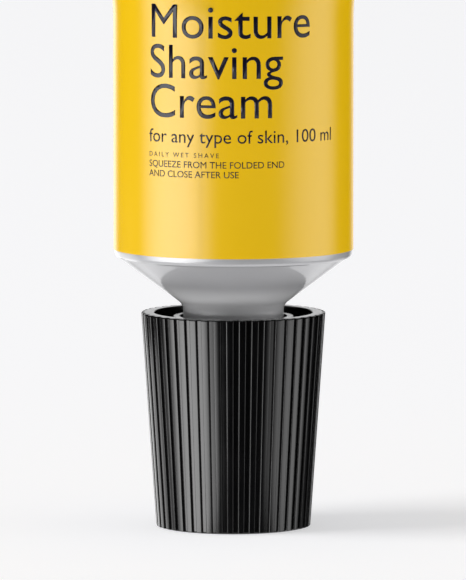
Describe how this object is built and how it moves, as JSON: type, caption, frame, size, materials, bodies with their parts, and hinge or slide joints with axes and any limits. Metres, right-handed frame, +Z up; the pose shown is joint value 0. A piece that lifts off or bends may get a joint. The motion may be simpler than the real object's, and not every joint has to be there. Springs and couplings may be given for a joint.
{
  "type": "shaving cream tube",
  "caption": "Collapsible aluminium cream tube with a folded end, yellow enamel and a threaded neck, standing on a ribbed, tapered black screw cap.",
  "frame": {"origin": "middle of the cap's flat closed end, on the surface the tube stands on", "axes": "+Z up the tube from the cap to the folded end; -Y is the printed front; the fold lies along X"},
  "size_m": [0.0548, 0.035, 0.1856],
  "materials": {
    "cap_plastic": "black moulded polypropylene, satin gloss",
    "liner_foam": "white expanded polyethylene foam",
    "bare_aluminium": "bare aluminium, bright and smooth from impact extrusion",
    "yellow_enamel": "golden yellow stoved enamel, satin with a metallic look",
    "latex": "dried latex sealant",
    "cream": "soft white cream"
  },
  "bodies": {
    "cap": {"cap_shell": "cap_plastic", "cap_sleeve": "cap_plastic"},
    "liner": {"cap_liner": "liner_foam"},
    "tube": {"tube_body": "bare_aluminium", "enamel_coat": "yellow_enamel", "end_seal_band": "latex", "cream": "cream"}
  },
  "joints": [
    {"name": "unscrew_turn", "type": "hinge", "parent": "cap", "child": "liner", "pos_m": [0, 0, 0.0224], "axis": [0, 0, 1], "range_deg": [0, 1440]},
    {"name": "unscrew_rise", "type": "slide", "parent": "liner", "child": "tube", "axis": [0, 0, 1], "range_m": [0, 0.00801]}
  ],
  "couplings": [
    {"joint": "unscrew_rise", "follows": "unscrew_turn", "m_per_rad": 0.00031831}
  ]
}
